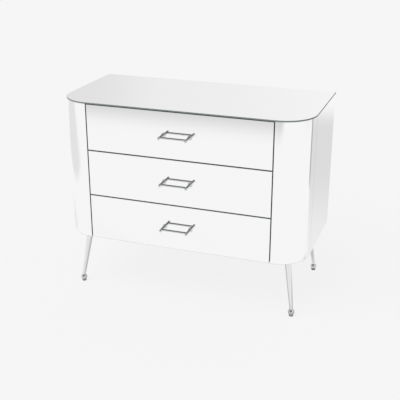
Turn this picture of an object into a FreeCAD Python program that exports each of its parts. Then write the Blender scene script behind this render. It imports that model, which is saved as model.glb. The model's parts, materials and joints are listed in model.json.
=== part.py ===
import FreeCAD, Part
import os
import re
import Sketcher

# A mirrored chest of three drawers on four splayed legs.
# X runs along the width, the drawer fronts face -Y and Z is up. The origin is on the floor, at the
# middle of the chest's own box. All sizes are millimetres.

SIZES = {
    # Outside of the chest
    "overall_width": 1000,
    "overall_depth": 480,
    "overall_height": 800,
    "body_underside": 240,
    "corner_radius": 125,
    # Mirror glass
    "top_overhang": 2,
    "top_glass_thickness": 5,
    "top_glass_arris": 0.8,
    "side_glass_thickness": 4,
    "front_glass_thickness": 4,
    "glass_joint": 0.5,
    "glue_line": 0.2,
    # Boards of the body
    "deck_thickness": 18,
    "side_board_thickness": 15,
    "upright_thickness": 15,
    "back_panel_thickness": 5,
    # Gaps round the drawer fronts
    "side_reveal": 4,
    "top_reveal": 3,
    "bottom_reveal": 1,
    "front_gap": 4,
    "closing_gap": 1.2,
    # Drawer boxes
    "front_board_thickness": 16,
    "box_length": 420,
    "box_wall": 12,
    "box_clearance": 5,
    "box_bottom_thickness": 4,
    "groove_depth": 6,
    "groove_rise": 10,
    "groove_play": 0.3,
    # Telescopic slides
    "slide_length": 400,
    "slide_space": 12.7,
    "slide_height": 45,
    "slide_reach": 9,
    "slide_lip": 3,
    "slide_steel": 1.2,
    "slide_play": 0.3,
    "slide_rise": 62,
    "slide_setback": 3,
    # Pulls
    "pull_spacing": 105,
    "bar_reach": 34,
    "bar_diameter": 8,
    "post_diameter": 11,
    "post_neck_diameter": 6.5,
    "socket_depth": 2.5,
    "socket_play": 0.15,
    "rosette_diameter": 19,
    "rosette_thickness": 3,
    "ball_diameter": 12,
    # Legs and feet
    "leg_top_diameter": 27,
    "leg_bottom_diameter": 14,
    "leg_splay": 30,
    "leg_inset": 77,
    "front_leg_setback": 86,
    "rear_leg_setback": 28,
    "plate_width": 48,
    "plate_thickness": 3,
    "plate_corner": 5,
    "foot_height": 29,
    "foot_ball_diameter": 26,
    "foot_ball_rise": 18,
    "foot_pad_diameter": 18,
    "foot_pad_height": 8,
}

# Sizes that follow from the ones above, each a rule in the words of the sheet
RULES = {
    "body_width": "overall_width - 2 * top_overhang",
    "body_depth": "overall_depth - top_overhang",
    "opening_half": "body_width / 2 - corner_radius",
    # The chest's own box reaches from the balls of the pulls to the rims of the rear feet.
    "pull_reach": "ball_reach + ball_diameter / 2",
    "post_length": "bar_reach + post_diameter / 2",
    "ball_reach": "post_length + ball_reach_past_neck",
    # A ball turned in flats: half of each flat, and how far its centre lies past its neck
    "ball_flat": "(sqrt(2) - 1) * ball_diameter / 2",
    "ball_reach_past_neck": "ball_diameter / 2 + ball_flat - post_neck_diameter / 2",
    "rear_reach": "body_depth - rear_leg_setback + leg_splay + foot_ball_diameter / 2",
    "front": "(pull_reach - rear_reach) / 2",
    "back": "front + body_depth",
    "glass_top": "overall_height - top_glass_thickness",
    "deck_top": "glass_top - glue_line",
    "board_skin": "side_glass_thickness + glue_line",
    "board_half": "body_width / 2 - board_skin",
    "panel_front": "back - back_panel_thickness",
    "bay_bottom": "body_underside + deck_thickness",
    "bay_top": "deck_top - deck_thickness",
    "front_stack": "front_glass_thickness + glue_line + front_board_thickness",
    "box_front": "front + front_stack",
    "front_height": "(glass_top - top_reveal - body_underside - bottom_reveal - 2 * front_gap) / 3",
    "front_width": "2 * (opening_half - side_reveal)",
    "box_half": "opening_half - slide_space",
    "box_rise": "deck_thickness - bottom_reveal + box_clearance",
    "box_height": "front_height - box_rise - (deck_thickness + glue_line - top_reveal + box_clearance)",
    "slide_end": "box_front + slide_setback + slide_length",
    "pull_half": "pull_spacing / 2",
    "leg_x": "body_width / 2 - leg_inset",
    "front_leg_y": "front + front_leg_setback",
    "rear_leg_y": "back - rear_leg_setback",
    "leg_top": "body_underside - plate_thickness",
    "leg_fall": "leg_top - foot_height",
    "leg_lean": "leg_splay * sqrt(2)",
    "leg_length": "sqrt(leg_fall ^ 2 + leg_lean ^ 2)",
    "leg_taper": "(leg_top_diameter - leg_bottom_diameter) / (2 * leg_length)",
    "leg_trim": "leg_top_diameter / 3",
}

LEVELS = ("bottom", "middle", "top")
WORD = re.compile(r"[a-z][a-z_]*")
UP = FreeCAD.Vector(0, 0, 1)
ACROSS = FreeCAD.Vector(1, 0, 0)

document = FreeCAD.newDocument("mirrored_chest")
sheet = document.addObject("Spreadsheet::Sheet", "sizes")
for row, (size_name, size) in enumerate(SIZES.items(), start=1):
    sheet.set(f"A{row}", size_name)
    sheet.set(f"B{row}", str(size))
    sheet.setAlias(f"B{row}", size_name)
document.recompute()

pieces = []


def open_rule(found):
    """Put a derived size's own rule, in brackets, in place of its name."""
    word = found.group()
    return f"({RULES[word]})" if word in RULES else word


def point_to_sheet(found):
    """Point a size's name at its cell of the sheet."""
    word = found.group()
    return f"sizes.{word}" if word in SIZES else word


def formula(rule):
    """Turn a rule in plain size names into an expression on the sheet."""
    opened = WORD.sub(open_rule, rule)
    while opened != rule:
        rule = opened
        opened = WORD.sub(open_rule, rule)
    return WORD.sub(point_to_sheet, rule)


def bind(thing, **rules):
    """Tie properties of an object to the sheet."""
    for name, rule in rules.items():
        thing.setExpression(name, formula(rule))


def place(thing, x="0", y="0", z="0", moved="Placement"):
    """Tie an object's place to the sheet."""
    for axis, rule in zip("xyz", (x, y, z)):
        thing.setExpression(f"{moved}.Base.{axis}", formula(rule))


def keep(thing, name):
    """Name a finished piece, which is written to a file of that name."""
    thing.Label = name
    pieces.append(thing)
    return thing


def board(name, x, y, z):
    """A rectangular board that reaches from one plane to another along each axis."""
    box = document.addObject("Part::Box", name)
    for side, axis, (low, high) in zip(("Length", "Width", "Height"), "xyz", (x, y, z)):
        box.setExpression(side, formula(f"({high}) - ({low})"))
        box.setExpression(f"Placement.Base.{axis}", formula(low))
    return box


def rod(name, diameter, length, x="0", y="0", z="0", turn=None):
    """A round rod that stands up from its place, or lies along another way when turned."""
    cylinder = document.addObject("Part::Cylinder", name)
    if turn:
        cylinder.Placement.Rotation = turn
    bind(cylinder, Radius=f"({diameter}) / 2", Height=length)
    place(cylinder, x, y, z)
    return cylinder


def cut(name, base, tool):
    """Take a tool away from a base."""
    result = document.addObject("Part::Cut", name)
    result.Base = base
    result.Tool = tool
    return result


def group(name, members):
    """Hold separate solids together as one piece of the parts list."""
    compound = document.addObject("Part::Compound", name)
    compound.Links = list(members)
    return compound


def other_hand(name, source):
    """The left-hand twin of a right-hand piece, mirrored across the middle of the chest."""
    twin = document.addObject("Part::Mirroring", name)
    twin.Source = source
    twin.Normal = ACROSS
    return twin


def both_hands(name, source):
    """A right-hand piece and its left-hand twin, as one pair."""
    return group(name, (source, other_hand(f"{name}_left", source)))


def origin_plane(body, role):
    """One of a body's own origin planes or axes, found by its role."""
    return next(feature for feature in body.Origin.OriginFeatures if feature.Role == role)


def sketch_on(body, name, role, lift="0"):
    """An empty sketch on an origin plane of its body, lifted off it by a size."""
    sketch = body.newObject("Sketcher::SketchObject", name)
    sketch.AttachmentSupport = [(origin_plane(body, role), "")]
    sketch.MapMode = "FlatFace"
    place(sketch, z=lift, moved="AttachmentOffset")
    return sketch


def fix_point(sketch, curve, end, x, y):
    """Hold one point of a curve at a place worked out from the sheet."""
    for kind, rule in (("DistanceX", x), ("DistanceY", y)):
        index = sketch.addConstraint(Sketcher.Constraint(kind, -1, 1, curve, end, 1.0))
        sketch.setExpression(f"Constraints[{index}]", formula(rule))


def draw_outline(sketch, corners):
    """A closed outline of straight lines through corners worked out from the sheet."""
    count = len(corners)
    # The lines start at rough places, none of them in line, and the sheet's sizes move them.
    for number in range(count):
        start = FreeCAD.Vector(number, number * number, 0)
        end = FreeCAD.Vector(number + 1, (number + 1) * (number + 1), 0)
        sketch.addGeometry(Part.LineSegment(start, end), False)
    for number, (x, y) in enumerate(corners):
        previous = (number - 1) % count
        sketch.addConstraint(Sketcher.Constraint("Coincident", previous, 2, number, 1))
        fix_point(sketch, number, 1, x, y)


def draw_circle(sketch, x, y, diameter):
    """A circle whose centre and diameter come from the sheet."""
    curve = sketch.addGeometry(Part.Circle(FreeCAD.Vector(), UP, 1), False)
    fix_point(sketch, curve, 3, x, y)
    index = sketch.addConstraint(Sketcher.Constraint("Radius", curve, 1.0))
    sketch.setExpression(f"Constraints[{index}]", formula(f"({diameter}) / 2"))


def rectangle(x, y):
    """The corners of a rectangle between two planes each way."""
    return [(x[0], y[0]), (x[1], y[0]), (x[1], y[1]), (x[0], y[1])]


def new_body(name, x="0", y="0", z="0"):
    """A body whose own origin stands at a place worked out from the sheet."""
    body = document.addObject("PartDesign::Body", name)
    place(body, x, y, z)
    return body


def pad(body, sketch, length):
    """Raise a sketch into a solid."""
    feature = body.newObject("PartDesign::Pad", f"{sketch.Name}_pad")
    feature.Profile = sketch
    bind(feature, Length=length)
    return feature


def pocket_through(body, sketch, reverse=False):
    """Cut a sketch right through its body."""
    before = solid_volume(body)
    feature = body.newObject("PartDesign::Pocket", f"{sketch.Name}_pocket")
    feature.Profile = sketch
    feature.Type = "ThroughAll"
    feature.Reversed = reverse
    document.recompute()
    assert body.Shape.Volume < before, f"{feature.Name} cuts nothing"
    return feature


def solid_volume(body):
    """How much a body holds so far."""
    document.recompute()
    return body.Shape.Volume


def turned(body, name, corners, role="XZ_Plane", angle=360, reverse=False):
    """Turn an outline about the vertical axis of its sketch, as on a lathe."""
    sketch = sketch_on(body, f"{name}_profile", role)
    draw_outline(sketch, corners)
    feature = body.newObject("PartDesign::Revolution", name)
    feature.Profile = sketch
    feature.ReferenceAxis = (sketch, ["V_Axis"])
    feature.Angle = angle
    feature.Reversed = reverse
    return feature


def edges_of(feature, wanted):
    """The names of a feature's edges that pass a test."""
    document.recompute()
    numbered = enumerate(feature.Shape.Edges, start=1)
    return [f"Edge{number}" for number, edge in numbered if wanted(edge)]


def is_upright(edge):
    """Whether an edge stands straight up."""
    return abs(edge.tangentAt(edge.FirstParameter).dot(UP)) > 0.999


def is_front_corner(edge):
    """Whether an edge is one of a board's two upright front corners."""
    return is_upright(edge) and edge.CenterOfMass.y < 0


def round_corners(body, feature, wanted, radius):
    """Round some edges of a feature."""
    fillet = body.newObject("PartDesign::Fillet", f"{feature.Name}_rounding")
    fillet.Base = (feature, edges_of(feature, wanted))
    bind(fillet, Radius=radius)
    return fillet


def make_deck(name, bottom):
    """A horizontal board with round front corners and a bay for the drawer fronts."""
    body = new_body(f"{name}_blank", z=bottom)
    outline = sketch_on(body, f"{name}_outline", "XY_Plane")
    draw_outline(outline, rectangle(("-board_half", "board_half"), ("front + board_skin", "panel_front")))
    blank = pad(body, outline, "deck_thickness")
    round_corners(body, blank, is_front_corner, "corner_radius - board_skin")
    bay = sketch_on(body, f"{name}_bay", "XY_Plane")
    draw_outline(bay, rectangle(("-opening_half", "opening_half"), ("front", "box_front + closing_gap")))
    pocket_through(body, bay, reverse=True)
    return body


keep(make_deck("top_board", "bay_top"), "top_board")
keep(make_deck("base_board", "body_underside"), "base_board")

# Top glass: one flat mirror with round front corners and a fine arris round its upper edge
top_glass = new_body("top_glass", z="glass_top")
glass_outline = sketch_on(top_glass, "top_glass_outline", "XY_Plane")
half_top = "overall_width / 2"
draw_outline(glass_outline, rectangle((f"-{half_top}", half_top), ("front - top_overhang", "back")))
glass_blank = pad(top_glass, glass_outline, "top_glass_thickness")
glass_corners = round_corners(top_glass, glass_blank, is_front_corner, "corner_radius + top_overhang")
arris = top_glass.newObject("PartDesign::Chamfer", "top_glass_arris")
rim = edges_of(glass_corners, lambda edge: edge.BoundBox.ZMin > glass_corners.Shape.BoundBox.Center.z)
arris.Base = (glass_corners, rim)
bind(arris, Size="top_glass_arris")
keep(top_glass, "top_glass")


def make_corner(name, outer, thickness, bottom, top):
    """A quarter of a round wall, from the side of the chest to its front."""
    body = new_body(name, x="opening_half", y="front + corner_radius")
    inner = f"{outer} - ({thickness})"
    turned(body, f"{name}_bend", rectangle((inner, outer), (bottom, top)), angle=90, reverse=True)
    return body


def make_right_side():
    """The right side of the body: bent and flat glass on bent and flat board, and the upright inside."""
    skin_y = "front + board_skin"
    upright_x = ("opening_half", "opening_half + upright_thickness")
    corner_end = "front + corner_radius"
    glass_z = ("body_underside", "deck_top")
    corner_glass = make_corner("right_corner_glass", "corner_radius", "side_glass_thickness", *glass_z)
    side_glass = board(
        "right_side_glass",
        ("body_width / 2 - side_glass_thickness", "body_width / 2"),
        (f"{corner_end} + glass_joint", "back"),
        glass_z,
    )
    bay = ("bay_bottom", "bay_top")
    bend = make_corner("right_corner_bend", "corner_radius - board_skin", "side_board_thickness", *bay)
    upright_room = board("right_upright_room", upright_x, ("front", corner_end), bay)
    corner_board = cut("right_corner_board", bend, upright_room)
    side_x = ("board_half - side_board_thickness", "board_half")
    side_board = board("right_side_board", side_x, (corner_end, "panel_front"), bay)
    plank = board("right_upright_blank", upright_x, (skin_y, "panel_front"), bay)
    nose_block = board("right_upright_nose", upright_x, ("front", corner_end), bay)
    nose_round = rod(
        "right_upright_round",
        "2 * (corner_radius - board_skin)",
        "bay_top - bay_bottom",
        "opening_half",
        corner_end,
        "bay_bottom",
    )
    nose = cut("right_upright_waste", nose_block, nose_round)
    upright = cut("right_upright", plank, nose)
    return {
        "corner_glass": corner_glass,
        "side_glass": side_glass,
        "corner_board": corner_board,
        "side_board": side_board,
        "upright": upright,
    }


for part_name, right_piece in make_right_side().items():
    keep(right_piece, f"right_{part_name}")
    keep(other_hand(f"left_{part_name}", right_piece), f"left_{part_name}")

# Back panel: it closes the whole back, between the side mirrors
panel_x = ("-board_half", "board_half")
panel_z = ("body_underside", "deck_top")
keep(board("back_panel", panel_x, ("panel_front", "back"), panel_z), "back_panel")


def make_plate(name, x, y):
    """A steel mounting plate with clipped corners, under the base board."""
    body = new_body(name, x, y, "leg_top")
    outline = sketch_on(body, f"{name}_outline", "XY_Plane")
    reach = ("-plate_width / 2", "plate_width / 2")
    draw_outline(outline, rectangle(reach, reach))
    blank = pad(body, outline, "plate_thickness")
    clipped = body.newObject("PartDesign::Chamfer", f"{name}_clipped")
    clipped.Base = (blank, edges_of(blank, is_upright))
    bind(clipped, Size="plate_corner")
    return body


def make_leg(name, x, y, way):
    """A tapered leg that leans outwards to both sides, trimmed level at both ends."""
    cone = document.addObject("Part::Cone", f"{name}_cone")
    cone.Placement.Rotation = FreeCAD.Rotation(FreeCAD.Vector(way, -1, 0), 1)
    bind(cone, Height="leg_length + 2 * leg_trim")
    bind(cone, Radius1="leg_bottom_diameter / 2 - leg_taper * leg_trim")
    bind(cone, Radius2="leg_top_diameter / 2 + leg_taper * leg_trim")
    cone.setExpression("Placement.Rotation.Angle", formula("atan(leg_lean / leg_fall)"))
    past_end = "leg_splay * (1 + leg_trim / leg_length)"
    low_end = "foot_height - leg_fall * leg_trim / leg_length"
    place(cone, f"{x} + {past_end}", f"{y} + {way} * {past_end}", low_end)
    reach = "(leg_splay + leg_top_diameter)"
    room = board(
        f"{name}_room",
        (f"{x} - {reach}", f"{x} + {reach}"),
        (f"{y} - {reach}", f"{y} + {reach}"),
        ("foot_height", "leg_top"),
    )
    leg = document.addObject("Part::Common", name)
    leg.Base = cone
    leg.Tool = room
    return leg


def make_foot(name, x, y):
    """A ball foot, flat where the leg stands on it and where it stands on its pad."""
    foot = document.addObject("Part::Sphere", name)
    bind(foot, Radius="foot_ball_diameter / 2")
    bind(foot, Angle1="asin((foot_pad_height - foot_ball_rise) / (foot_ball_diameter / 2))")
    bind(foot, Angle2="asin((foot_height - foot_ball_rise) / (foot_ball_diameter / 2))")
    place(foot, x, y, "foot_ball_rise")
    return foot


plates = []
for end, leg_y, way in (("front", "front_leg_y", -1), ("rear", "rear_leg_y", 1)):
    foot_spot = ("leg_x + leg_splay", f"{leg_y} + {way} * leg_splay")
    floor_pad = rod(f"{end}_floor_pad", "foot_pad_diameter", "foot_pad_height", *foot_spot)
    keep(both_hands(f"{end}_leg_pair", make_leg(f"{end}_leg", "leg_x", leg_y, way)), f"{end}_legs")
    keep(both_hands(f"{end}_foot_pair", make_foot(f"{end}_foot", *foot_spot)), f"{end}_feet")
    keep(both_hands(f"{end}_floor_pad_pair", floor_pad), f"{end}_floor_pads")
    plates.append(both_hands(f"{end}_plate_pair", make_plate(f"{end}_plate", "leg_x", leg_y)))
keep(group("leg_plate_set", plates), "leg_plates")


def channel(web, tip, half_height):
    """A lipped channel: its web near the upright, its open side towards the drawer."""
    inner_web, inner_tip = f"{web} - slide_steel", f"{tip} + slide_steel"
    upper_half = [
        (web, half_height),
        (tip, half_height),
        (tip, f"{half_height} - slide_lip"),
        (inner_tip, f"{half_height} - slide_lip"),
        (inner_tip, f"{half_height} - slide_steel"),
        (inner_web, f"{half_height} - slide_steel"),
    ]
    return upper_half + [(x, f"-({height})") for x, height in reversed(upper_half)]


def runner(web, flange, half_height, flange_height):
    """The member on the drawer: a channel turned the other way, with feet that run behind the lips."""
    inner_web, inner_flange = f"{web} + slide_steel", f"{flange} + slide_steel"
    upper_half = [
        (web, half_height),
        (flange, half_height),
        (flange, flange_height),
        (inner_flange, flange_height),
        (inner_flange, f"{half_height} - slide_steel"),
        (inner_web, f"{half_height} - slide_steel"),
    ]
    return upper_half + [(x, f"-({height})") for x, height in reversed(upper_half)]


# The three members of a slide nest in each other, a steel thickness and the play apart.
STEP = "(slide_steel + slide_play)"
SLIDE_HALF = "slide_height / 2"
SLIDE_MEMBERS = {
    "outer": channel("0", "-slide_reach", SLIDE_HALF),
    "carriage": channel(f"-{STEP}", f"-slide_reach + {STEP}", f"{SLIDE_HALF} - {STEP}"),
    "inner": runner(
        "-slide_space",
        f"-slide_reach + 2 * {STEP}",
        f"{SLIDE_HALF} - {STEP} - slide_lip - slide_play",
        f"{SLIDE_HALF} - 2 * {STEP}",
    ),
}


def make_slides(level, member, middle):
    """One member of the pair of slides that carries a drawer."""
    name = f"{level}_{member}"
    body = new_body(name, "opening_half", "slide_end", middle)
    section = sketch_on(body, f"{name}_section", "XZ_Plane")
    draw_outline(section, SLIDE_MEMBERS[member])
    pad(body, section, "slide_length")
    return both_hands(f"{name}_pair", body)


def make_post(name, middle):
    """A turned post: a rosette on the mirror, a socket for the bar and a ball turned in flats."""
    body = new_body(name, "pull_half", "front", middle)
    turned(body, f"{name}_turning", [
        ("0", "0"),
        ("rosette_diameter / 2", "0"),
        ("rosette_diameter / 2", "-rosette_thickness"),
        ("post_diameter / 2", "-rosette_thickness"),
        ("post_diameter / 2", "-post_length"),
        ("post_neck_diameter / 2", "-post_length"),
        ("ball_diameter / 2", "-(ball_reach - ball_flat)"),
        ("ball_diameter / 2", "-(ball_reach + ball_flat)"),
        ("ball_flat", "-pull_reach"),
        ("0", "-pull_reach"),
    ], role="XY_Plane")
    socket = sketch_on(body, f"{name}_socket", "YZ_Plane", lift="socket_depth - post_diameter / 2")
    draw_circle(socket, "-bar_reach", "0", "bar_diameter + 2 * socket_play")
    pocket_through(body, socket)
    return body


def make_bar(name, middle):
    """The bar of a pull, with its ends in the posts' sockets."""
    reach = "(pull_half - post_diameter / 2 + socket_depth - socket_play)"
    lying = FreeCAD.Rotation(FreeCAD.Vector(0, 1, 0), 90)
    return rod(name, "bar_diameter", f"2 * {reach}", f"-{reach}", "front - bar_reach", middle, turn=lying)


def make_box(level, bottom):
    """The box behind a drawer front: two grooved sides, a back, and a bottom that runs in the grooves."""
    box_end = "box_front + box_length"
    side_inner = "box_half - box_wall"
    groove_top = f"{bottom} + groove_rise + box_bottom_thickness + 2 * groove_play"
    box_y = ("box_front", box_end)
    box_z = (bottom, f"{bottom} + box_height")
    plank = board(f"{level}_side_blank", (side_inner, "box_half"), box_y, box_z)
    groove = board(
        f"{level}_groove",
        (side_inner, f"{side_inner} + groove_depth"),
        box_y,
        (f"{bottom} + groove_rise", groove_top),
    )
    side = cut(f"{level}_right_drawer_side", plank, groove)
    left_side = other_hand(f"{level}_left_drawer_side", side)
    back = board(
        f"{level}_drawer_back",
        (f"-({side_inner})", side_inner),
        (f"{box_end} - box_wall", box_end),
        (groove_top, f"{bottom} + box_height"),
    )
    tongue = f"{side_inner} + groove_depth - groove_play"
    base = board(
        f"{level}_drawer_bottom",
        (f"-({tongue})", tongue),
        box_y,
        (f"{bottom} + groove_rise + groove_play", f"{groove_top} - groove_play"),
    )
    return {"right_side": side, "left_side": left_side, "back": back, "bottom": base}


outer_slides = []
for storey, level in enumerate(LEVELS):
    front_bottom = f"(body_underside + bottom_reveal + {storey} * (front_height + front_gap))"
    front_middle = f"{front_bottom} + front_height / 2"
    box_bottom = f"{front_bottom} + box_rise"
    slide_middle = f"{box_bottom} + slide_rise"
    front_x = ("-front_width / 2", "front_width / 2")
    front_z = (front_bottom, f"{front_bottom} + front_height")
    glass_y = ("front", "front + front_glass_thickness")
    board_y = ("box_front - front_board_thickness", "box_front")
    drawer = {
        "front_mirror": board(f"{level}_front_mirror", front_x, glass_y, front_z),
        "front_board": board(f"{level}_front_board", front_x, board_y, front_z),
        **make_box(level, box_bottom),
        "inner_slides": make_slides(level, "inner", slide_middle),
        "slide_carriages": make_slides(level, "carriage", slide_middle),
        "pull_bar": make_bar(f"{level}_pull_bar", front_middle),
        "pull_posts": both_hands(f"{level}_post_pair", make_post(f"{level}_post", front_middle)),
    }
    outer_slides.append(make_slides(level, "outer", slide_middle))
    for part_name, drawer_piece in drawer.items():
        keep(drawer_piece, f"{level}_drawer_{part_name}")
keep(group("outer_slide_set", outer_slides), "outer_slides")

document.recompute()
for thing in document.Objects:
    assert not {"Invalid", "Error"} & set(thing.State), f"{thing.Label} failed: {thing.State}"
for piece in pieces:
    assert not piece.Shape.isNull(), f"{piece.Label} is empty"
    assert piece.Shape.isValid(), f"{piece.Label} is not valid"

os.makedirs("parts", exist_ok=True)
for piece in pieces:
    piece.Shape.exportStep(f"parts/{piece.Label}.step")

boxes = [piece.Shape.BoundBox for piece in pieces]
low = [round(min(getattr(box, side) for box in boxes), 2) for side in ("XMin", "YMin", "ZMin")]
high = [round(max(getattr(box, side) for box in boxes), 2) for side in ("XMax", "YMax", "ZMax")]
print(len(pieces), "pieces in a box from", low, "to", high)
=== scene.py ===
# %% [markdown]
# # A mirrored chest of drawers
#
# This lesson dresses a finished CAD model: a chest of three drawers covered in mirror glass, with
# rounded front corners, chrome pulls and splayed metal legs. The CAD model says where everything is.
# Blender adds what the eye looks for: polished edges, silvering, brushed metal, round balls and screws.

# %% Load the chest
import json
import math

import bmesh
import bpy
from mathutils import Matrix, Vector


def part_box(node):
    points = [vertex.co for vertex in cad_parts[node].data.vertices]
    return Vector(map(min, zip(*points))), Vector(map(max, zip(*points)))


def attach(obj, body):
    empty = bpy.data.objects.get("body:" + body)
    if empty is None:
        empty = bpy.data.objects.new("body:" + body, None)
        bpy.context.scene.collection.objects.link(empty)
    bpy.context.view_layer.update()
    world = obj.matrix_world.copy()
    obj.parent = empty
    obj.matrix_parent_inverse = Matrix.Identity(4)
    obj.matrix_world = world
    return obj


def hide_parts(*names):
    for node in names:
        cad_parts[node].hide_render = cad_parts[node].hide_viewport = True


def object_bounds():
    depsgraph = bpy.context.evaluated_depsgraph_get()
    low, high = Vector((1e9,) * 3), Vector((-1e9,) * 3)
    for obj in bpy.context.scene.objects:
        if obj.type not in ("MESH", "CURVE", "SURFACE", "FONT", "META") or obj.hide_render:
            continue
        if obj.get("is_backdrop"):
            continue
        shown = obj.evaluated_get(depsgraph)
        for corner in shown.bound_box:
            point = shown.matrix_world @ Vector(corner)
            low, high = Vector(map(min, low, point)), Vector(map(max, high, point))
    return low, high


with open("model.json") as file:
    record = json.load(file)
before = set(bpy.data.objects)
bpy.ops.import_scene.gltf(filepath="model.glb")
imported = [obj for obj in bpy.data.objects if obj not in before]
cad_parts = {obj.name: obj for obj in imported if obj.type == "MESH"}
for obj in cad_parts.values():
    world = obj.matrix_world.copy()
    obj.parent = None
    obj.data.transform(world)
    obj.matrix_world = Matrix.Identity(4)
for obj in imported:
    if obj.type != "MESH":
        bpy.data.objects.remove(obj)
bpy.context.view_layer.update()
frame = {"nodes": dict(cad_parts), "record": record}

LEVELS = ("bottom", "middle", "top")
# which way a side or a row lies along its axis
SIDES = {"left": -1, "right": 1}
ROWS = {"front": -1, "rear": 1}
MM = 0.001

# %% [markdown]
# ## The camera
#
# The photograph looks down on the chest from the front and a little from the right. The place and the
# lens were found by matching the corners of the top, the gaps between the drawers and the feet. A long
# lens keeps the chest from bulging, as a product photographer would want. The camera stands a little
# higher than the best match, so that the rear left foot hides behind the bottom edge as it does in the
# photograph. No lens shift is used, so that the same camera also serves for views from other sides. The
# view transform is Standard, so that a colour renders about as it is written.

# %% Camera
camera_place = Vector((1.002, -2.787, 1.547))
camera_turn = math.radians(19.51)
camera_tilt = math.radians(21.74)
camera = bpy.data.objects.new("camera", bpy.data.cameras.new("camera"))
camera.location = camera_place
camera.rotation_euler = (math.radians(90) - camera_tilt, 0, camera_turn)
camera.data.sensor_width = 36
camera.data.lens = 69.8
bpy.context.scene.collection.objects.link(camera)
bpy.context.scene.camera = camera
bpy.context.scene.view_settings.view_transform = "Standard"
print("the camera stands", round(camera_place.length, 2), "m from the chest")

# %% [markdown]
# ## Building with nodes
#
# A material is a small graph. One helper keeps the graph readable: it adds a node, sets its options,
# and fills its inputs either with plain values or with the output of another node. The sums that are
# needed again and again get short names of their own.


# %% A helper for nodes
def node(tree, kind, inputs=None, **options):
    made = tree.nodes.new(kind)
    for option, value in options.items():
        setattr(made, option, value)
    for socket, value in (inputs or {}).items():
        if isinstance(value, bpy.types.NodeSocket):
            tree.links.new(value, made.inputs[socket])
        else:
            made.inputs[socket].default_value = value
    return made


# %% Sums with nodes
def product(tree, first, second):
    return node(tree, "ShaderNodeMath", {0: first, 1: second}, operation="MULTIPLY").outputs[0]


def divided(tree, first, second):
    return node(tree, "ShaderNodeMath", {0: first, 1: second}, operation="DIVIDE").outputs[0]


def total(tree, first, second):
    return node(tree, "ShaderNodeMath", {0: first, 1: second}, operation="ADD").outputs[0]


def dot(tree, first, second):
    inputs = {0: first, 1: second}
    return node(tree, "ShaderNodeVectorMath", inputs, operation="DOT_PRODUCT").outputs["Value"]


def mapped(tree, value, start, end, low, high):
    inputs = {"Value": value, "From Min": start, "From Max": end, "To Min": low, "To Max": high}
    return node(tree, "ShaderNodeMapRange", inputs, interpolation_type="SMOOTHSTEP").outputs[0]


def blended(tree, share, first, second):
    inputs = {"Factor": share, "A": first, "B": second}
    return node(tree, "ShaderNodeMix", inputs, data_type="FLOAT").outputs[0]


# %% [markdown]
# ## The studio
#
# A mirror has no look of its own: it shows the room. So the room matters more here than for any other
# object. Seen directly it is one plain light grey. Seen in the glass and the chrome there is more to it:
# the wall in front of the chest, the wall on the right and the upper left are duller than the rest, the
# upper left in two steps, and overhead, on the camera's side, hangs a dark screen with one round lamp.
# The screen gives chrome its dark lines, and the lamp gives it a highlight.
#
# Each of these is a mask, a number between 0 and 1 worked out from the direction of a ray. The mask of
# a wall looks at a slant, which is the heading along one axis divided by the heading along the other,
# because the edges of the wall are then upright lines.


# %% Helpers for masks
def between(tree, value, low_edge, high_edge):
    return product(tree, mapped(tree, value, *low_edge, 0, 1), mapped(tree, value, *high_edge, 1, 0))


def dulled(tree, tone, drops):
    for mask, drop in drops:
        tone = product(tree, tone, mapped(tree, mask, 0, 1, 1, 1 - drop))
    return tone


# %% World
world = bpy.data.worlds.new("studio")
bpy.context.scene.world = world
world.use_nodes = True
studio = world.node_tree
studio.nodes.clear()
direction = node(studio, "ShaderNodeTexCoord").outputs["Generated"]
heading = node(studio, "ShaderNodeSeparateXYZ", {0: direction}).outputs
print("the studio starts with", len(studio.nodes), "nodes")

# %% Walls of the studio
wall_tone = 0.93
front_drop, right_drop, upper_drop, upper_left_drop = 0.3, 0.17, 0.08, 0.1
front_edges = (-0.62, -0.2), (0.62, 0.74)
right_edges = (-0.5, 0.5)
slant = divided(studio, heading["X"], heading["Y"])
forward = mapped(studio, heading["Y"], -0.5, -0.3, 1, 0)
in_front = product(studio, between(studio, slant, *front_edges), forward)
slant = divided(studio, heading["Y"], heading["X"])
rightward = mapped(studio, heading["X"], 0.3, 0.5, 0, 1)
at_right = product(studio, mapped(studio, slant, *right_edges, 0, 1), rightward)
high_up = mapped(studio, heading["Z"], 0.08, 0.18, 0, 1)
upper = product(studio, mapped(studio, heading["X"], -0.45, 0, 1, 0), high_up)
upper_left = product(studio, mapped(studio, heading["X"], -0.48, -0.34, 1, 0), high_up)
# each mask with the share of the light that it takes away
drops = (
    (in_front, front_drop),
    (at_right, right_drop),
    (upper, upper_drop),
    (upper_left, upper_left_drop),
)
walls = dulled(studio, wall_tone, drops)
print("the walls are", wall_tone, "and the front wall", round(wall_tone * (1 - front_drop), 2))

# %% Screen and lamp
screen_tone, lamp_tone = 0.17, 1.0
screen_width = between(studio, heading["X"], (-0.9, -0.7), (0.45, 0.6))
on_camera_side = mapped(studio, heading["Y"], 0, 0.3, 1, 0)
overhead = mapped(studio, heading["Z"], 0.18, 0.3, 0, 1)
screen = product(studio, screen_width, product(studio, on_camera_side, overhead))
lamp_way = Vector((-0.6, -0.4, 0.69)).normalized()
lamp_edges = [math.cos(math.radians(degrees)) for degrees in (18, 10)]
lamp = mapped(studio, dot(studio, direction, lamp_way), *lamp_edges, 0, 1)
reflected = blended(studio, screen, walls, screen_tone)
reflected = blended(studio, lamp, reflected, lamp_tone)
print("the lamp hangs", round(math.degrees(math.asin(lamp_way.z))), "degrees above the horizon")

# %% [markdown]
# The world then answers each kind of ray in its own way. The camera sees the plain backdrop, glass and
# chrome see the walls, the screen and the lamp, and everything that is matt gets an even, softer light.

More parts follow.
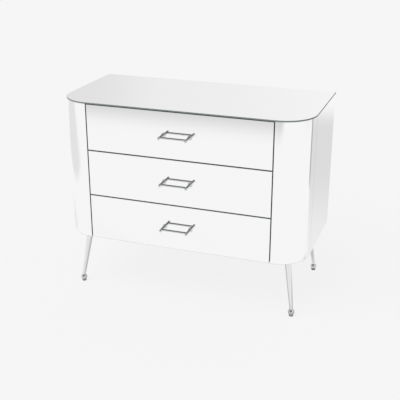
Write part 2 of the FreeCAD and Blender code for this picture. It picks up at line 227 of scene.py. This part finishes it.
# %% Light for each kind of ray
backdrop_tone = 0.921
ambient_light = 0.62
rays = node(studio, "ShaderNodeLightPath").outputs
in_glass = total(studio, rays["Is Glossy Ray"], rays["Is Transmission Ray"])
tone = blended(studio, in_glass, ambient_light, reflected)
tone = blended(studio, rays["Is Camera Ray"], tone, backdrop_tone)
sky = node(studio, "ShaderNodeBackground", {"Color": tone, "Strength": 1})
node(studio, "ShaderNodeOutputWorld", {"Surface": sky.outputs[0]})
print("the studio has", len(studio.nodes), "nodes")

# %% [markdown]
# ## The floor
#
# The floor is a wide sheet of pale paper. For the camera and the glass it mostly glows, so that it melts
# into the backdrop, and a small share of its light is real, so that the chest still casts a faint soft
# shadow. The corners of a rectangle are needed here and again for the sheets of glass, so a small
# function gives them, in order round the edge.


# %% Floor sheet
def rectangle(low, high):
    return (low[0], low[1]), (high[0], low[1]), (high[0], high[1]), (low[0], high[1])


floor_half = 30
floor_mesh = bpy.data.meshes.new("floor")
corners = rectangle((-floor_half, -floor_half), (floor_half, floor_half))
floor_mesh.from_pydata([(x, y, 0) for x, y in corners], [], [range(4)])
floor = bpy.data.objects.new("floor", floor_mesh)
bpy.context.scene.collection.objects.link(floor)
floor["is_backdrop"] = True
paper = bpy.data.materials.new("studio_paper")
paper.use_nodes = True
floor_mesh.materials.append(paper)
tree = paper.node_tree
tree.nodes.clear()
place = node(tree, "ShaderNodeNewGeometry").outputs["Position"]
ground = node(tree, "ShaderNodeSeparateXYZ", {0: place}).outputs
print("the floor is", 2 * floor_half, "m wide")

# %% [markdown]
# Looked at from above, the upright mirrors show nothing but this floor, so its duller places give the
# glass its shades. In front and on the right the floor gets as dull as the walls, between the same
# slants, and so no edge shows where floor and wall meet. Three more places are soft-edged patches: a
# far one and a near one on the left are duller paper, and the one right under the chest is a painted
# shadow, seen only in the glass and the chrome. A patch is given by its four soft edges, each from where
# it starts to where it ends.


# %% Dull places round the chest, and a painted shadow under it
def patch(left_edge, right_edge, front_edge, rear_edge):
    width = between(tree, ground["X"], left_edge, right_edge)
    return product(tree, width, between(tree, ground["Y"], front_edge, rear_edge))


dull_from, dull_to = 2.18, 3.26
slant = divided(tree, ground["X"], ground["Y"])
far_front = mapped(tree, ground["Y"], -dull_to, -dull_from, 1, 0)
in_front = product(tree, between(tree, slant, *front_edges), far_front)
slant = divided(tree, ground["Y"], ground["X"])
far_right = mapped(tree, ground["X"], 2.43, 4.0, 0, 1)
at_right = product(tree, mapped(tree, slant, *right_edges, 0, 1), far_right)
far_left = patch((-5.5, -4.2), (-2.02, -1.52), (-1.48, -0.47), (1.09, 1.74))
near_left = patch((-1.34, -1.06), (-0.83, -0.69), (-0.29, 0.31), (1.1, 1.5))
# painted shadow: for the glass and the chrome the floor is darker under the chest, reaching further out on
# the right, the side away from the lamp
painted_shadow_under_chest = patch((-0.65, -0.3), (0.85, 1.0), (-0.4, -0.15), (0.1, 0.3))
print("the floor in front is dull from", dull_from, "m on")

# %% [markdown]
# Behind the chest lies a second, duller sheet of paper. Its edge is a straight joint that runs off to
# the right and the back, and far out, where the paper lifts a little, the joint shows as a thin dark
# line. A place on the floor is measured across the joint and along it with two dot products.

# %% A second sheet behind the chest
joint_start = Vector((0.48, -0.10, 0))
joint_way = Vector((0.80, 0.60, 0))
across_joint = Vector((-joint_way.y, joint_way.x, 0))
from_start = node(tree, "ShaderNodeVectorMath", {0: place, 1: joint_start}, operation="SUBTRACT").outputs[0]
beyond = dot(tree, from_start, across_joint)
along = dot(tree, from_start, joint_way)
away = node(tree, "ShaderNodeVectorMath", {0: from_start}, operation="LENGTH").outputs["Value"]
dullest = product(tree, mapped(tree, away, 0.28, 2.1, 0.3, 1), mapped(tree, away, 2.37, 3.5, 1, 0))
second_sheet = mapped(tree, beyond, -0.05, 0.15, 0, 1)
past_joint = product(tree, second_sheet, mapped(tree, ground["X"], -0.9, 0.1, 0, 1))
behind = product(tree, past_joint, dullest)
off_joint = node(tree, "ShaderNodeMath", {0: divided(tree, beyond, along)}, operation="ABSOLUTE").outputs[0]
joint = product(tree, mapped(tree, off_joint, 0.03, 0.09, 1, 0), mapped(tree, along, 1.21, 1.66, 0, 1))
joint_angle = math.degrees(math.atan2(joint_way.y, joint_way.x))
print("the joint of the paper runs", round(joint_angle), "degrees to the back")

# %% Floor paper
paper_tone = 0.942
shadow_share = 0.09
# each mask with the share of the light that it takes away
drops = (
    (in_front, front_drop),
    (at_right, right_drop),
    (far_left, 0.17),
    (near_left, 0.13),
    (behind, 0.235),
    (joint, 0.5),
    # the painted shadow under the chest
    (painted_shadow_under_chest, 0.35),
)
paper_in_glass = dulled(tree, paper_tone, drops)
rays = node(tree, "ShaderNodeLightPath").outputs
in_glass = total(tree, rays["Is Glossy Ray"], rays["Is Transmission Ray"])
seen = blended(tree, in_glass, backdrop_tone, paper_in_glass)
glow = node(tree, "ShaderNodeEmission", {"Color": seen, "Strength": 1}).outputs[0]
lit = node(tree, "ShaderNodeBsdfDiffuse", {"Color": seen}).outputs[0]
mostly_glow = node(tree, "ShaderNodeMixShader", {0: shadow_share, 1: glow, 2: lit}).outputs[0]
looked_at = total(tree, rays["Is Camera Ray"], in_glass)
surface = node(tree, "ShaderNodeMixShader", {0: looked_at, 1: lit, 2: mostly_glow}).outputs[0]
node(tree, "ShaderNodeOutputMaterial", {"Surface": surface})
print("the paper has", len(tree.nodes), "nodes")

# %% [markdown]
# ## The lamp
#
# One very large, soft lamp from the upper left gives the light a direction. It is a sun with a wide
# disc, because a sun lights the whole floor evenly. It isn't shown in the glass: the pale studio is.

# %% Soft key lamp
key = bpy.data.objects.new("key_lamp", bpy.data.lights.new("key_lamp", "SUN"))
key.data.energy = 1.5
key.data.angle = math.radians(50)
key.rotation_euler = (math.radians(32), math.radians(-24), 0)
key.visible_glossy = False
bpy.context.scene.collection.objects.link(key)
print("the lamp's disc is", round(math.degrees(key.data.angle)), "degrees wide")

# %% [markdown]
# ## Finishes
#
# Each finish starts with a Principled shader. The values that never change are set on the shader
# itself. What varies over the surface, such as grain, brushing or a faint haze, comes from noise in the
# object's own space, so that it moves with a drawer.


# %% Starting a finish
def new_finish(name, **constants):
    finish = bpy.data.materials.new(name)
    finish.use_nodes = True
    shader = finish.node_tree.nodes["Principled BSDF"]
    for socket, value in constants.items():
        shader.inputs[socket.replace("_", " ")].default_value = value
    return finish, finish.node_tree, shader


# %% Helpers for patterns
def own_space(tree):
    return node(tree, "ShaderNodeTexCoord").outputs["Object"]


def noise(tree, scale, detail=3, stretch=(1, 1, 1)):
    inputs = {0: own_space(tree), 1: stretch}
    stretched = node(tree, "ShaderNodeVectorMath", inputs, operation="MULTIPLY").outputs[0]
    inputs = {"Vector": stretched, "Scale": scale, "Detail": detail}
    return node(tree, "ShaderNodeTexNoise", inputs).outputs["Fac"]


# %% Helpers that put a pattern to use
def tint(tree, shader, share, dark, light):
    colours = {"Factor": share, "A": (*dark, 1), "B": (*light, 1)}
    mix = node(tree, "ShaderNodeMix", colours, data_type="RGBA")
    tree.links.new(mix.outputs["Result"], shader.inputs["Base Color"])


def roughen(tree, shader, share, low, high):
    # noise keeps mostly between 0.3 and 0.7
    tree.links.new(mapped(tree, share, 0.3, 0.7, low, high), shader.inputs["Roughness"])


def emboss(tree, shader, height, strength, distance):
    inputs = {"Height": height, "Strength": strength, "Distance": distance}
    tree.links.new(node(tree, "ShaderNodeBump", inputs).outputs[0], shader.inputs["Normal"])


# %% [markdown]
# ### Silvered mirror
#
# A mirror is glass with a film of silver behind it. At this size the glass itself can't be told from
# its silver, so the front face is a nearly perfect metal. Two faint things keep it from looking like a
# computer's mirror: a haze that makes some places a touch less sharp, and a slow wave in the sheet.

# %% Silvered mirror
silver, tree, shader = new_finish("silvered_mirror", Metallic=1)
haze = noise(tree, 7, detail=5)
tint(tree, shader, haze, (0.971, 0.969, 0.977), (0.986, 0.985, 0.989))
roughen(tree, shader, haze, 0.008, 0.02)
emboss(tree, shader, noise(tree, 2.5, detail=1), 0.02, 0.002)
print("silvered mirror has", len(tree.nodes), "nodes")

# %% [markdown]
# ### Polished glass edge
#
# Where the sheet ends, one looks into the glass. Light that gets in there is swallowed, so a polished
# edge is darker than the face and slightly green. It gets no gloss of its own, and so it stays a dark
# line when it is looked at almost along the sheet, where gloss would make it as pale as the room.

# %% Polished glass edge
glass_edge, tree, shader = new_finish("polished_glass_edge", Metallic=0, Specular_IOR_Level=0)
grind = noise(tree, 900, detail=2)
tint(tree, shader, grind, (0.19, 0.21, 0.205), (0.26, 0.285, 0.275))
roughen(tree, shader, grind, 0.15, 0.3)
print("glass edge has", len(tree.nodes), "nodes")

# %% [markdown]
# ### Lacquered board
#
# The carcass is fibreboard with silver-grey lacquer. Lacquer is smooth, with a faint orange-peel
# surface and tiny sparkles of pigment that show up as grain. A light coat over the colour gives it a
# second, softer gloss.

# %% Lacquered board
lacquer, tree, shader = new_finish("grey_lacquer", Metallic=0.15, Coat_Weight=0.2, Coat_Roughness=0.25)
pigment = noise(tree, 1600, detail=2)
tint(tree, shader, pigment, (0.50, 0.50, 0.51), (0.60, 0.60, 0.61))
roughen(tree, shader, noise(tree, 30), 0.32, 0.45)
emboss(tree, shader, noise(tree, 500), 0.08, 0.0004)
print("grey lacquer has", len(tree.nodes), "nodes")

# %% [markdown]
# ### Drawer foil
#
# Inside, the drawer boards are wrapped in a pale foil printed and pressed like linen: two sets of fine
# threads that cross. There is one wave for each axis, because the boards face different ways and each
# face is crossed by two of the three. A little distortion frays the threads.

# %% Drawer foil
foil, tree, shader = new_finish("linen_foil", Metallic=0, Specular_IOR_Level=0.35)
inputs = {"Vector": own_space(tree), "Scale": 260, "Distortion": 1.2, "Detail": 2}
waves = []
for axis in ("X", "Y", "Z"):
    waves.append(node(tree, "ShaderNodeTexWave", inputs, bands_direction=axis).outputs["Fac"])
weave = product(tree, waves[0], product(tree, waves[1], waves[2]))
tint(tree, shader, weave, (0.60, 0.595, 0.585), (0.74, 0.735, 0.72))
roughen(tree, shader, noise(tree, 200), 0.5, 0.65)
emboss(tree, shader, weave, 0.25, 0.0003)
print("linen foil has", len(tree.nodes), "nodes")

# %% [markdown]
# ### Satin steel
#
# The legs are steel tube, ground along their length and plated. Grinding leaves fine lines that run
# down the leg, so the noise is stretched: crowded across the leg and slow along it.

# %% Satin steel
satin, tree, shader = new_finish("satin_steel", Metallic=1, Anisotropic=0.4)
lines = noise(tree, 60, detail=4, stretch=(12, 12, 0.5))
tint(tree, shader, lines, (0.80, 0.80, 0.795), (0.90, 0.90, 0.895))
roughen(tree, shader, lines, 0.14, 0.24)
emboss(tree, shader, lines, 0.06, 0.0003)
print("satin steel has", len(tree.nodes), "nodes")

# %% [markdown]
# ### Polished chrome
#
# Chrome is a slightly bluish metal that gives back about two thirds of the light. Small variations in
# roughness are the buffing marks and fingerprints that every chrome handle has.

# %% Polished chrome
chrome, tree, shader = new_finish("polished_chrome", Metallic=1)
buffing = noise(tree, 160, detail=4)
tint(tree, shader, buffing, (0.64, 0.65, 0.66), (0.73, 0.735, 0.74))
roughen(tree, shader, buffing, 0.03, 0.08)
emboss(tree, shader, noise(tree, 60), 0.02, 0.0002)
print("polished chrome has", len(tree.nodes), "nodes")

# %% [markdown]
# ### Zinc plate
#
# Slides, leg plates and screws are zinc-plated. Zinc grows in faint crystals, which a cell texture
# shows as patches that are a little lighter or darker. The same patches change the roughness, so that
# they show in the gloss as well.

# %% Zinc plate
zinc, tree, shader = new_finish("zinc_plate", Metallic=1)
crystals = node(tree, "ShaderNodeTexVoronoi", {"Vector": own_space(tree), "Scale": 240}).outputs["Color"]
patches = node(tree, "ShaderNodeSeparateColor", {0: crystals}).outputs["Red"]
tint(tree, shader, patches, (0.42, 0.43, 0.445), (0.51, 0.52, 0.53))
roughen(tree, shader, patches, 0.3, 0.42)
print("zinc plate has", len(tree.nodes), "nodes")

# %% [markdown]
# ### Rubber
#
# The pads under the feet are dull grey rubber, a little dusty: the dust is paler and rougher. Small
# bumps give the grain of a moulded part. The grey is a middle one, because black pads would stand out
# more than they do in the photograph.

# %% Rubber
rubber, tree, shader = new_finish("grey_rubber", Metallic=0, Specular_IOR_Level=0.35)
dust = noise(tree, 320, detail=4)
tint(tree, shader, dust, (0.22, 0.22, 0.225), (0.36, 0.36, 0.355))
roughen(tree, shader, dust, 0.5, 0.75)
emboss(tree, shader, noise(tree, 1400), 0.2, 0.0003)
print("rubber has", len(tree.nodes), "nodes")

# %% [markdown]
# ## From mesh to piece
#
# Every new piece goes through the same steps: a mesh is finished, smooth faces are told from sharp
# edges, its finishes are set, and it is fastened to the body that it moves with. Where it stands for a
# CAD node, that node is hidden.

# %% A helper for pieces
smooth_below = math.radians(20)


def finish_piece(name, shape, finishes, body, replaced=()):
    mesh = bpy.data.meshes.new(name)
    bmesh.ops.recalc_face_normals(shape, faces=shape.faces)
    for face in shape.faces:
        face.smooth = True
    for edge in shape.edges:
        edge.smooth = len(edge.link_faces) == 2 and edge.calc_face_angle() < smooth_below
    shape.to_mesh(mesh)
    shape.free()
    for finish in finishes:
        mesh.materials.append(finish)
    piece = bpy.data.objects.new(name, mesh)
    bpy.context.scene.collection.objects.link(piece)
    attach(piece, body)
    if replaced:
        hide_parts(*replaced)


# %% [markdown]
# ## Sheets of mirror glass
#
# A sheet of glass is an outline given some thickness, and then its sharp rim is ground off: the arris.
# The outline stays in a plane, the push goes along the sheet's normal, and a narrow bevel makes the
# arris. The faces that look the way of the silvering get the mirror, all others get the glass edge. A
# face looks that way squarely when its normal keeps within about 18 degrees of it.

# %% Helpers for sheets
arris = 0.9 * MM
squarely = 0.95


def glass_sheet(outline, push, is_silvered):
    shape = bmesh.new()
    base = shape.faces.new([shape.verts.new(point) for point in outline])
    grown = bmesh.ops.extrude_face_region(shape, geom=[base])
    pushed = [part for part in grown["geom"] if isinstance(part, bmesh.types.BMVert)]
    bmesh.ops.translate(shape, vec=push, verts=pushed)
    bmesh.ops.recalc_face_normals(shape, faces=shape.faces)
    along = Vector(push).normalized()
    rim = []
    for edge in shape.edges:
        facing = {round(abs(face.normal.dot(along))) for face in edge.link_faces}
        if facing == {0, 1}:
            rim.append(edge)
    bmesh.ops.bevel(shape, geom=rim, offset=arris, segments=2, affect="EDGES", profile=0.5)
    for face in shape.faces:
        face.material_index = 0 if is_silvered(face) else 1
    return shape


def mirror(name, shape, body, replaced):
    finish_piece(name, shape, (silver, glass_edge), body, [replaced])


# %% [markdown]
# ### The top
#
# One flat mirror covers the chest. Its two front corners are quarter circles, walked in even steps of
# angle from the front round to the side. Mirrored, the same steps make the other corner. A bevel on a
# plain sheet would be quicker, but the steps are wanted again for the bent mirrors below, so that all
# corners bend alike.

# %% Top mirror
glass_low, glass_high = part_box("top_glass")
corner_radius = 127 * MM
corner_steps = 40
turns = [math.radians(90) * step / corner_steps for step in range(corner_steps + 1)]
quarter = [(math.sin(turn), -math.cos(turn)) for turn in turns]
bend_x, bend_y = glass_high.x - corner_radius, glass_low.y + corner_radius
right_bend = [(bend_x + corner_radius * x, bend_y + corner_radius * y) for x, y in quarter]
left_bend = [(-x, y) for x, y in reversed(right_bend)]
plan = left_bend + right_bend + [(glass_high.x, glass_high.y), (glass_low.x, glass_high.y)]
outline = [(x, y, glass_low.z) for x, y in plan]
push = (0, 0, glass_high.z - glass_low.z)
shape = glass_sheet(outline, push, lambda face: face.normal.z > squarely)
mirror("top_mirror", shape, "cabinet", "top_glass")
top_width = glass_high.x - glass_low.x
print("the top is", round(top_width / MM), "mm wide, with", len(plan), "corners to its outline")

# %% [markdown]
# ### The bent corners and the sides
#
# The corner mirrors are bent in a quarter circle. In plan they are a band between two arcs. The faces
# to be silvered stand upright and lie near the outer arc. The side mirrors carry on where the bend ends,
# half a millimetre away.

# %% A helper for the corner mirrors
glass_thickness = 4 * MM
near_outer_arc = 1.5 * MM
upright_below = 0.1


def corner_mirror(hand, way):
    low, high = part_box(f"{hand}_corner_glass")
    centre = Vector((low.x if way > 0 else high.x, high.y, 0))
    outer = high.x - low.x
    inner = outer - glass_thickness
    band = [(centre.x + way * outer * x, centre.y + outer * y) for x, y in quarter]
    band += [(centre.x + way * inner * x, centre.y + inner * y) for x, y in reversed(quarter)]

    def is_bent_front(face):
        reach = (face.calc_center_median() - centre).to_2d().length
        return abs(face.normal.z) < upright_below and reach > outer - near_outer_arc

    outline = [(x, y, low.z) for x, y in band]
    shape = glass_sheet(outline, (0, 0, high.z - low.z), is_bent_front)
    mirror(f"{hand}_corner_mirror", shape, "cabinet", f"{hand}_corner_glass")
    return outer


# %% A helper for the side mirrors
def side_mirror(hand, way):
    low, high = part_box(f"{hand}_side_glass")
    inner_x, outer_x = (low.x, high.x) if way > 0 else (high.x, low.x)
    outline = [(inner_x, y, z) for y, z in rectangle(low.yz, high.yz)]
    push = (outer_x - inner_x, 0, 0)
    shape = glass_sheet(outline, push, lambda face: way * face.normal.x > squarely)
    mirror(f"{hand}_side_mirror", shape, "cabinet", f"{hand}_side_glass")


# %% Corner and side mirrors
for hand, way in SIDES.items():
    bend_radius = corner_mirror(hand, way)
    side_mirror(hand, way)
print("each corner bends round", round(bend_radius / MM), "mm")

# %% [markdown]
# ### The drawer fronts
#
# Three equal mirrors, each glued to its own front board, so the glass rides on its drawer. Each is a flat
# sheet that starts at the board, is pushed out to the front and is silvered there. Its outline is the box
# of the CAD node, and so the narrow gaps between the drawers stay what they are.

# %% Drawer mirrors
for level in LEVELS:
    drawer = f"{level}_drawer"
    low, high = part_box(f"{drawer}_front_mirror")
    outline = [(x, high.y, z) for x, z in rectangle(low.xz, high.xz)]
    push = (0, low.y - high.y, 0)
    shape = glass_sheet(outline, push, lambda face: face.normal.y < -squarely)
    mirror(f"{drawer}_mirror", shape, drawer, f"{drawer}_front_mirror")
print("each front is", round((high.x - low.x) / MM), "by", round((high.z - low.z) / MM), "mm")

# %% [markdown]
# ## Turned parts
#
# Feet, posts and bars are made on a lathe. Here the same is done with a profile, half of the section. It
# is a list of distances along the axis and radii, and its round stretches are walked in even steps of
# angle. Each point of the profile gives a ring, or a single point where it meets the axis, and a skin of
# faces joins each ring to the next. The spin tool does this too, but it heaps points on one spot at the
# poles and orders its mesh anew in each run. The part is made upright and then set down where it belongs,
# with its axis turned the right way.


# %% The skin between rings
def skin(shape, rings):
    steps = max(len(ring) for ring in rings)
    for below, above in zip(rings, rings[1:]):
        for step in range(steps):
            after = step + 1
            around = ((below, step), (below, after), (above, after), (above, step))
            corners = [ring[number % len(ring)] for ring, number in around]
            # a single point on the axis comes twice, and is counted once
            shape.faces.new(list(dict.fromkeys(corners)))


# %% Helpers for turned parts
same_place = 0.001 * MM


def set_down(place, axis):
    turn = Vector((0, 0, 1)).rotation_difference(Vector(axis)).to_matrix().to_4x4()
    return Matrix.Translation(place) @ turn


def turned(profile, axis, place, steps=64):
    shape = bmesh.new()
    rings = []
    for along, radius in profile:
        count = steps if radius > same_place else 1
        turns = [2 * math.pi * step / steps for step in range(count)]
        spots = [(radius * math.cos(turn), radius * math.sin(turn), along) for turn in turns]
        rings.append([shape.verts.new(spot) for spot in spots])
    skin(shape, rings)
    bmesh.ops.transform(shape, matrix=set_down(place, axis), verts=shape.verts)
    return shape


# %% The profile of a ball
def ball(middle, radius, start, end, steps=24):
    turns = [start + (end - start) * step / steps for step in range(steps + 1)]
    return [(middle - radius * math.cos(turn), radius * math.sin(turn)) for turn in turns]


# %% Several shapes in one piece
def join(shapes):
    whole = bmesh.new()
    for shape in shapes:
        spare = bpy.data.meshes.new("spare")
        shape.to_mesh(spare)
        whole.from_mesh(spare)
        bpy.data.meshes.remove(spare)
        shape.free()
    return whole


# %% [markdown]
# ### Ball feet
#
# A chrome ball carries each leg. It is cut flat above, where the leg stands on it, and below, where it
# stands on its pad. The cuts are where the arc of the profile starts and ends. The CAD model has a few
# flats in place of the arc, to stay light. Chrome shows every flat, so here the ball is round.

# %% Feet
low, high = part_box("front_feet")
ball_bottom, leg_foot = low.z, high.z
ball_radius = (high.y - low.y) / 2
ball_rise = 18 * MM
start = math.acos((ball_rise - ball_bottom) / ball_radius)
end = math.acos((ball_rise - leg_foot) / ball_radius)
foot_profile = [(ball_bottom, 0)] + ball(ball_rise, ball_radius, start, end) + [(leg_foot, 0)]
foot_spots = {}
for row in ROWS:
    low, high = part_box(f"{row}_feet")
    foot_spots[row] = [(way * (high.x - ball_radius), (low.y + high.y) / 2, 0) for way in SIDES.values()]
    shape = join([turned(foot_profile, (0, 0, 1), spot) for spot in foot_spots[row]])
    finish_piece(f"{row}_ball_feet", shape, (chrome,), "cabinet", [f"{row}_feet"])
print("the balls are cut flat at", round(ball_bottom / MM), "and", round(leg_foot / MM), "mm")

# %% [markdown]
# ### Floor pads
#
# Under each ball is a short grey rubber pad. Its lower rim is rounded, so that it slides over a joint
# of the floor. The rounding is a quarter of a small circle, moved out to the rim.

# %% Floor pads
low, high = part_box("front_floor_pads")
pad_height = high.z - low.z
pad_radius = 9 * MM
pad_rim = 2 * MM
pad_inset = pad_radius - pad_rim
rim_arc = [(along, pad_inset + radius) for along, radius in ball(pad_rim, pad_rim, 0, math.pi / 2, steps=6)]
pad_profile = [(0, 0)] + rim_arc + [(pad_height, pad_radius), (pad_height, 0)]
for row, spots in foot_spots.items():
    shape = join([turned(pad_profile, (0, 0, 1), spot) for spot in spots])
    finish_piece(f"{row}_rubber_pads", shape, (rubber,), "cabinet", [f"{row}_floor_pads"])
print("the pads are", round(pad_height / MM), "mm high")

# %% [markdown]
# ### Splayed legs
#
# A leg is a taper that leans outwards to the front or back and to the side. Level slices of it are
# rings that shrink and wander outwards on the way down, each a little longer in the direction of the
# lean, as a slanting cut through a tube is. Joining ring to ring gives the leg with both ends level,
# ready to stand on its foot and to carry its plate.

# %% Sizes of a leg
leg_steps = 56
splay = 30 * MM
top_radius, foot_radius = 13.5 * MM, 7 * MM
leg_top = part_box("leg_plates")[0].z
lean = math.atan(splay * math.sqrt(2) / (leg_top - leg_foot))
print("the legs lean", round(math.degrees(lean), 1), "degrees")


# %% A helper for legs
def leg(foot, way_x, way_y):
    shape = bmesh.new()
    out = Vector((way_x, way_y)).normalized()
    rings = []
    for share in (0, 0.5, 1):
        radius = foot_radius + (top_radius - foot_radius) * share
        ring = []
        for step in range(leg_steps):
            turn = 2 * math.pi * step / leg_steps
            around = Vector((math.cos(turn), math.sin(turn)))
            stretched = around + out * around.dot(out) * (1 / math.cos(lean) - 1)
            spot = Vector(foot) - share * splay * Vector((way_x, way_y)) + radius * stretched
            ring.append(shape.verts.new((spot.x, spot.y, leg_foot + share * (leg_top - leg_foot))))
        rings.append(ring)
    skin(shape, rings)
    shape.faces.new(reversed(rings[0]))
    shape.faces.new(rings[-1])
    return shape


# %% Legs
for row, way_y in ROWS.items():
    shape = join([leg(spot[:2], way_x, way_y) for spot, way_x in zip(foot_spots[row], SIDES.values())])
    finish_piece(f"{row}_tapered_legs", shape, (satin,), "cabinet", [f"{row}_legs"])
print("each leg is", round((leg_top - leg_foot) / MM), "mm high")

# %% [markdown]
# ### Pulls
#
# A pull is a bar on two posts. Each post has a rosette against the glass, a socket where the bar goes
# in and a ball at its end, behind a narrow neck. The mirror doubles it, so what looks like a frame with
# four balls is one bar and its reflection.

# %% Post profile
low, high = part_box("top_drawer_pull_bar")
glass_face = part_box("top_drawer_front_mirror")[0].y
bar_radius = (high.z - low.z) / 2
bar_out = glass_face - (low.y + high.y) / 2
rosette_radius, rosette_depth = 9.5 * MM, 3 * MM
socket_radius, neck_radius, end_radius = 5.5 * MM, 3.25 * MM, 6 * MM
rim = 0.6 * MM
post_end = bar_out + socket_radius
ball_middle = post_end + math.sqrt(end_radius ** 2 - neck_radius ** 2)
post_profile = [
    (0, 0),
    (0, rosette_radius),
    (rosette_depth - 2 * rim, rosette_radius),
    (rosette_depth - rim / 2, rosette_radius - rim / 2),
    (rosette_depth, rosette_radius - 2 * rim),
    (rosette_depth, socket_radius + rim),
    (rosette_depth + rim, socket_radius),
    (post_end - rim, socket_radius),
    (post_end, socket_radius - rim),
]
post_profile += ball(ball_middle, end_radius, math.asin(neck_radius / end_radius), math.pi)
print("a pull stands", round((ball_middle + end_radius) / MM), "mm off the glass")

# %% Pulls
post_spread = 52.5 * MM
for level in LEVELS:
    drawer = f"{level}_drawer"
    low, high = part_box(f"{drawer}_pull_bar")
    height = (low.z + high.z) / 2
    spots = [(way * post_spread, glass_face, height) for way in SIDES.values()]
    posts = join([turned(post_profile, (0, -1, 0), spot) for spot in spots])
    finish_piece(f"{level}_posts", posts, (chrome,), drawer, [f"{drawer}_pull_posts"])
    length = high.x - low.x
    half_bar = [(0, 0), (0, bar_radius - rim), (rim, bar_radius)]
    bar_profile = half_bar + [(length - along, radius) for along, radius in reversed(half_bar)]
    bar = turned(bar_profile, (1, 0, 0), (low.x, glass_face - bar_out, height))
    finish_piece(f"{level}_bar", bar, (chrome,), drawer, [f"{drawer}_pull_bar"])
print("the posts stand", round(2 * post_spread / MM), "mm apart")

# %% [markdown]
# ## Boards, slides and plates
#
# These CAD nodes have the right shape and stay, but their edges are as sharp as a knife, which nothing
# real is. Three modifiers help. The first welds the loose corners of the mesh together, the second makes
# its flat faces whole again, and the third takes the edges off: nearly a millimetre on boards, whose
# edging is sanded, and a quarter of one on rolled steel. The record says which material each node has,
# and a small table says which finish and which edge go with it.


# %% A helper that takes off edges
def soften(piece, softness):
    weld = piece.modifiers.new("weld corners", "WELD")
    weld.merge_threshold = same_place
    flats = piece.modifiers.new("whole flats", "DECIMATE")
    flats.decimate_type = "DISSOLVE"
    flats.angle_limit = math.radians(1)
    edges = piece.modifiers.new("soft edges", "BEVEL")
    edges.width = softness
    edges.segments = 2
    edges.limit_method = "ANGLE"
    edges.angle_limit = math.radians(60)


# %% Boards, slides and plates
finish_of = {
    "mirror_glass": (silver, 0),
    "lacquered_board": (lacquer, 0.8 * MM),
    "drawer_board": (foil, 0.8 * MM),
    "satin_steel": (satin, 0),
    "chrome": (chrome, 0),
    "grey_rubber": (rubber, 0),
    "zinc_steel": (zinc, 0.25 * MM),
}
for subpart in frame["record"]["subparts"]:
    piece = frame["nodes"][subpart["node"]]
    finish, softness = finish_of[subpart["material_slot"]]
    piece.data.materials.clear()
    piece.data.materials.append(finish)
    if softness:
        soften(piece, softness)

# %% [markdown]
# ## Screws
#
# The screws that one can find are worth showing: under the leg plates, round the back panel and inside
# each drawer, behind its pull. One pan head is made, with a cross cut into it by a Boolean modifier, and
# is then set down wherever a screw goes, each turned a little further than the last. The cross is two
# bars that overlap, so the modifier is told that its cutter meets itself.


# %% A helper for cutting
def carved(shape, tool):
    block, cutter = [bpy.data.objects.new("spare", bpy.data.meshes.new("spare")) for _ in range(2)]
    for spare, form in ((block, shape), (cutter, tool)):
        bmesh.ops.recalc_face_normals(form, faces=form.faces)
        form.to_mesh(spare.data)
        form.free()
        bpy.context.scene.collection.objects.link(spare)
    boolean = block.modifiers.new("cut", "BOOLEAN")
    boolean.operation = "DIFFERENCE"
    boolean.object = cutter
    boolean.use_self = True
    rest = block.evaluated_get(bpy.context.evaluated_depsgraph_get())
    result = bmesh.new()
    result.from_mesh(rest.to_mesh())
    for spare in (block, cutter):
        bpy.data.meshes.remove(spare.data)
    return result


# %% Screw head
head_radius, head_height = 3.8 * MM, 2 * MM
cross_reach, cross_width, cross_depth = 2.1 * MM, 0.8 * MM, 1.2 * MM
dome_radius = (head_radius ** 2 + head_height ** 2) / (2 * head_height)
half_dome = math.asin(head_radius / dome_radius)
dome = ball(head_height - dome_radius, dome_radius, math.pi - half_dome, math.pi, steps=8)
head = turned([(0, 0)] + dome, (0, 0, 1), (0, 0, 0), steps=32)
cross = bmesh.new()
for half_x, half_y in ((cross_reach, cross_width / 2), (cross_width / 2, cross_reach)):
    stretch = Matrix.Diagonal((2 * half_x, 2 * half_y, 2 * cross_depth, 1))
    bmesh.ops.create_cube(cross, size=1, matrix=Matrix.Translation((0, 0, head_height)) @ stretch)
screw = carved(head, cross)
print("a screw head has", len(screw.faces), "faces")

# %% A helper for screws
twist = 0.7


def screws(name, places, axis, body):
    heads = []
    for number, place in enumerate(places):
        head = screw.copy()
        spin = Matrix.Rotation(twist * number, 4, "Z")
        bmesh.ops.transform(head, matrix=set_down(place, axis) @ spin, verts=head.verts)
        heads.append(head)
    finish_piece(name, join(heads), (zinc,), body)
    print(name, "has", len(places), "screws")


# %% Screws under the leg plates
from_middle = (-17 * MM, 17 * MM)
places = []
for row, way_y in ROWS.items():
    for spot, way_x in zip(foot_spots[row], SIDES.values()):
        middle_x, middle_y = spot[0] - way_x * splay, spot[1] - way_y * splay
        places += [(middle_x + x, middle_y + y, leg_top) for x in from_middle for y in from_middle]
screws("leg_plate_screws", places, (0, 0, -1), "cabinet")

# %% Screws round the back panel
low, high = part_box("back_panel")
inset = 7.5 * MM
heights = [low.z + inset + (high.z - low.z - 2 * inset) * step / 4 for step in range(5)]
places = [(way * (high.x - inset), high.y, z) for way in SIDES.values() for z in heights]
for share in (-0.6, -0.2, 0.2, 0.6):
    places += [(high.x * share, high.y, z) for z in (heights[0], heights[-1])]
screws("back_panel_screws", places, (0, 1, 0), "cabinet")

# %% Screws behind the pulls
for level in LEVELS:
    low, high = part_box(f"{level}_drawer_front_board")
    places = [(way * post_spread, high.y, (low.z + high.z) / 2) for way in SIDES.values()]
    screws(f"{level}_pull_screws", places, (0, 1, 0), f"{level}_drawer")

# %% [markdown]
# ## Sizes
#
# The dressed chest has to stay inside the box of the CAD model. Its size is printed, in millimetres.

# %% Write the sizes
low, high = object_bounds()
print("the dressed chest is", [round(size / MM) for size in high - low], "mm")
